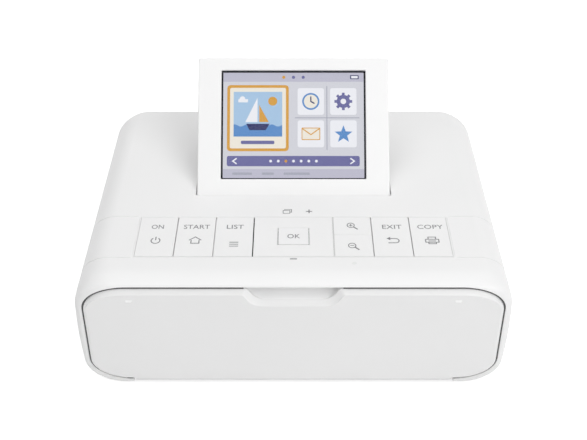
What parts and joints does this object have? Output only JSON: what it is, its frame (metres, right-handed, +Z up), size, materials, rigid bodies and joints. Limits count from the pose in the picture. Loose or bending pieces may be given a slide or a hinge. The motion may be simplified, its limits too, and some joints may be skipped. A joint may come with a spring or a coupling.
{
  "type": "compact photo printer",
  "caption": "Compact desktop photo printer with a tilting screen panel, a key row, a hinged front cover, a side ink door and a rear paper slot.",
  "frame": {"origin": "middle of the footprint on the desk, under the feet", "axes": "+X to the right side seen from the front, +Y to the rear, +Z up; screen raised, covers shut"},
  "size_m": [0.1806, 0.136, 0.1072],
  "materials": {
    "case_white": "fine satin moulding",
    "base_white": "fine satin moulding",
    "rear_white": "fine satin moulding",
    "cover_white": "fine satin moulding",
    "bezel_white": "smooth satin",
    "tray_white": "fine satin moulding",
    "key_white": "fine satin",
    "ok_key_grey": "fine satin",
    "lamp_lens": "clear lens",
    "window_clear": "gloss",
    "display_lit": "lit panel",
    "pin_steel": "ground",
    "sheet_steel": "plated sheet",
    "sink_alu": "extruded",
    "head_ceramic": "glazed strip",
    "frame_dark": "moulded",
    "foot_rubber": "matt",
    "roller_rubber": "ground",
    "gear_nylon": "moulded",
    "pinion_brass": "cut",
    "motor_can": "plated",
    "spool_film": "wound film",
    "cassette_grey": "moulded",
    "lever_blue": "moulded",
    "board_green": "solder mask",
    "switch_black": "moulded",
    "socket_steel": "plated",
    "socket_black": "moulded"
  },
  "bodies": {
    "case": {"top_cover": "case_white", "base_cover": "base_white", "rear_panel": "rear_white", "front_frame": "frame_dark", "rubber_feet": "foot_rubber", "case_screws": "pin_steel", "key_board": "board_green", "key_switches": "switch_black", "status_lamp": "lamp_lens", "chassis_floor": "sheet_steel", "left_plate": "sheet_steel", "right_plate": "sheet_steel", "motor_bracket": "sheet_steel", "feed_motor": "motor_can", "ribbon_motor": "motor_can", "head_springs": "pin_steel", "ink_cassette": "cassette_grey", "main_board": "board_green", "card_slot": "socket_steel", "usb_sockets": "socket_steel", "dc_socket": "socket_black", "battery_port": "socket_black"},
    "screen": {"screen_bezel": "bezel_white", "screen_back": "tray_white", "display_window": "window_clear", "display_module": "display_lit", "screen_hinge_pins": "pin_steel"},
    "cover": {"front_cover": "cover_white", "front_cover_pins": "pin_steel"},
    "side_door": {"ink_door": "case_white", "ink_door_pins": "pin_steel"},
    "power": {"power_key": "key_white"},
    "home": {"home_key": "key_white"},
    "menu": {"menu_key": "key_white"},
    "ok": {"ok_key": "ok_key_grey"},
    "zoom_in": {"zoom_in_key": "key_white"},
    "zoom_out": {"zoom_out_key": "key_white"},
    "back": {"back_key": "key_white"},
    "print": {"print_key": "key_white"},
    "pad_ring": {"nav_carrier": "frame_dark"},
    "pad": {"nav_pad": "key_white"},
    "platen": {"platen_shaft": "pin_steel", "platen_rubber": "roller_rubber"},
    "feed_roller": {"capstan": "pin_steel"},
    "pinch": {"pinch_roller": "roller_rubber"},
    "idler": {"idler_gear": "gear_nylon"},
    "feed_pinion": {"feed_pinion": "pinion_brass"},
    "head": {"thermal_head": "head_ceramic", "heat_sink": "sink_alu", "head_arm": "sheet_steel"},
    "cam": {"head_cam": "gear_nylon"},
    "takeup": {"takeup_spool": "spool_film", "takeup_gear": "gear_nylon"},
    "supply": {"supply_spool": "spool_film"},
    "ribbon_pinion": {"ribbon_pinion": "pinion_brass"},
    "pickup_idler": {"pickup_idler": "gear_nylon"},
    "pickup_drive": {"pickup_shaft": "pin_steel"},
    "pickup_arm": {"pickup_arm": "cassette_grey"},
    "pickup_roller": {"pickup_roller": "roller_rubber"},
    "eject_lever": {"eject_lever": "lever_blue"}
  },
  "joints": [
    {"name": "screen_tilt", "type": "hinge", "parent": "case", "child": "screen", "pos_m": [0, -0.00325, 0.05681], "axis": [1, 0, 0], "range_deg": [-46, 0]},
    {"name": "cover_open", "type": "hinge", "parent": "case", "child": "cover", "pos_m": [0, -0.0665, 0.007], "axis": [1, 0, 0], "range_deg": [0, 90]},
    {"name": "side_door_open", "type": "hinge", "parent": "case", "child": "side_door", "pos_m": [0.0882, 0.0542, 0.03], "axis": [0, 0, 1], "range_deg": [0, 90]},
    {"name": "power_press", "type": "slide", "parent": "case", "child": "power", "axis": [0, 0.0488, -0.9988], "range_m": [0, 0.0006], "stiffness_N_per_m": 800, "springref_m": -0.0008},
    {"name": "home_press", "type": "slide", "parent": "case", "child": "home", "axis": [0, 0.0488, -0.9988], "range_m": [0, 0.0006], "stiffness_N_per_m": 800, "springref_m": -0.0008},
    {"name": "menu_press", "type": "slide", "parent": "case", "child": "menu", "axis": [0, 0.0488, -0.9988], "range_m": [0, 0.0006], "stiffness_N_per_m": 800, "springref_m": -0.0008},
    {"name": "ok_press", "type": "slide", "parent": "case", "child": "ok", "axis": [0, 0.0488, -0.9988], "range_m": [0, 0.0006], "stiffness_N_per_m": 800, "springref_m": -0.0008},
    {"name": "zoom_in_press", "type": "slide", "parent": "case", "child": "zoom_in", "axis": [0, 0.0488, -0.9988], "range_m": [0, 0.0006], "stiffness_N_per_m": 800, "springref_m": -0.0008},
    {"name": "zoom_out_press", "type": "slide", "parent": "case", "child": "zoom_out", "axis": [0, 0.0488, -0.9988], "range_m": [0, 0.0006], "stiffness_N_per_m": 800, "springref_m": -0.0008},
    {"name": "back_press", "type": "slide", "parent": "case", "child": "back", "axis": [0, 0.0488, -0.9988], "range_m": [0, 0.0006], "stiffness_N_per_m": 800, "springref_m": -0.0008},
    {"name": "print_press", "type": "slide", "parent": "case", "child": "print", "axis": [0, 0.0488, -0.9988], "range_m": [0, 0.0006], "stiffness_N_per_m": 800, "springref_m": -0.0008},
    {"name": "pad_rock_front", "type": "hinge", "parent": "case", "child": "pad_ring", "pos_m": [0, -0.03641, 0.05419], "axis": [1, 0, 0], "range_deg": [-1.5, 1.5], "stiffness_Nm_per_rad": 0.4},
    {"name": "pad_rock_side", "type": "hinge", "parent": "pad_ring", "child": "pad", "pos_m": [0, -0.03641, 0.05419], "axis": [0, 0.9988, 0.0488], "range_deg": [-1.5, 1.5], "stiffness_Nm_per_rad": 0.4},
    {"name": "platen_turn", "type": "hinge", "parent": "case", "child": "platen", "pos_m": [0, 0.026, 0.014], "axis": [1, 0, 0], "continuous": true},
    {"name": "feed_roller_turn", "type": "hinge", "parent": "case", "child": "feed_roller", "pos_m": [0, 0.0575, 0.0165], "axis": [1, 0, 0], "continuous": true},
    {"name": "pinch_turn", "type": "hinge", "parent": "case", "child": "pinch", "pos_m": [0, 0.0575, 0.0233], "axis": [1, 0, 0], "continuous": true},
    {"name": "idler_turn", "type": "hinge", "parent": "case", "child": "idler", "pos_m": [0, 0.0422, 0.02184], "axis": [1, 0, 0], "continuous": true},
    {"name": "feed_pinion_turn", "type": "hinge", "parent": "case", "child": "feed_pinion", "pos_m": [0, 0.03991, 0.03484], "axis": [1, 0, 0], "continuous": true},
    {"name": "head_lift", "type": "hinge", "parent": "case", "child": "head", "pos_m": [0, 0.058, 0.04575], "axis": [1, 0, 0], "range_deg": [0, 2.15]},
    {"name": "cam_turn", "type": "hinge", "parent": "case", "child": "cam", "pos_m": [0, -0.005, 0.0402], "axis": [1, 0, 0], "range_deg": [0, 180]},
    {"name": "takeup_turn", "type": "hinge", "parent": "case", "child": "takeup", "pos_m": [0, 0.0095, 0.0323], "axis": [1, 0, 0], "continuous": true},
    {"name": "supply_turn", "type": "hinge", "parent": "case", "child": "supply", "pos_m": [0, 0.0425, 0.0323], "axis": [1, 0, 0], "continuous": true},
    {"name": "ribbon_pinion_turn", "type": "hinge", "parent": "case", "child": "ribbon_pinion", "pos_m": [0, 0.00721, 0.0193], "axis": [1, 0, 0], "continuous": true},
    {"name": "pickup_idler_turn", "type": "hinge", "parent": "case", "child": "pickup_idler", "pos_m": [0, -0.01082, 0.03761], "axis": [1, 0, 0], "continuous": true},
    {"name": "pickup_drive_turn", "type": "hinge", "parent": "case", "child": "pickup_drive", "pos_m": [0, -0.03, 0.0368], "axis": [1, 0, 0], "continuous": true},
    {"name": "pickup_swing", "type": "hinge", "parent": "case", "child": "pickup_arm", "pos_m": [0, -0.03, 0.0368], "axis": [1, 0, 0], "range_deg": [0, 10]},
    {"name": "pickup_roller_turn", "type": "hinge", "parent": "pickup_arm", "child": "pickup_roller", "pos_m": [0, -0.016, 0.0285], "axis": [1, 0, 0], "continuous": true},
    {"name": "eject_swing", "type": "hinge", "parent": "case", "child": "eject_lever", "pos_m": [0.066, 0.025, 0.0441], "axis": [0, 0, 1], "range_deg": [-10, 10]}
  ],
  "couplings": [
    {"joint": "feed_roller_turn", "follows": "platen_turn", "ratio": 1.25},
    {"joint": "pinch_turn", "follows": "platen_turn", "ratio": -1.4583},
    {"joint": "idler_turn", "follows": "platen_turn", "ratio": -1},
    {"joint": "feed_pinion_turn", "follows": "platen_turn", "ratio": 2.1429},
    {"joint": "supply_turn", "follows": "takeup_turn", "ratio": 1},
    {"joint": "ribbon_pinion_turn", "follows": "takeup_turn", "ratio": -2.1429},
    {"joint": "pickup_idler_turn", "follows": "takeup_turn", "ratio": -0.75},
    {"joint": "pickup_drive_turn", "follows": "takeup_turn", "ratio": 1.25},
    {"joint": "pickup_roller_turn", "follows": "takeup_turn", "ratio": 1.25},
    {"joint": "cam_turn", "follows": "head_lift", "ratio": 83.713}
  ]
}
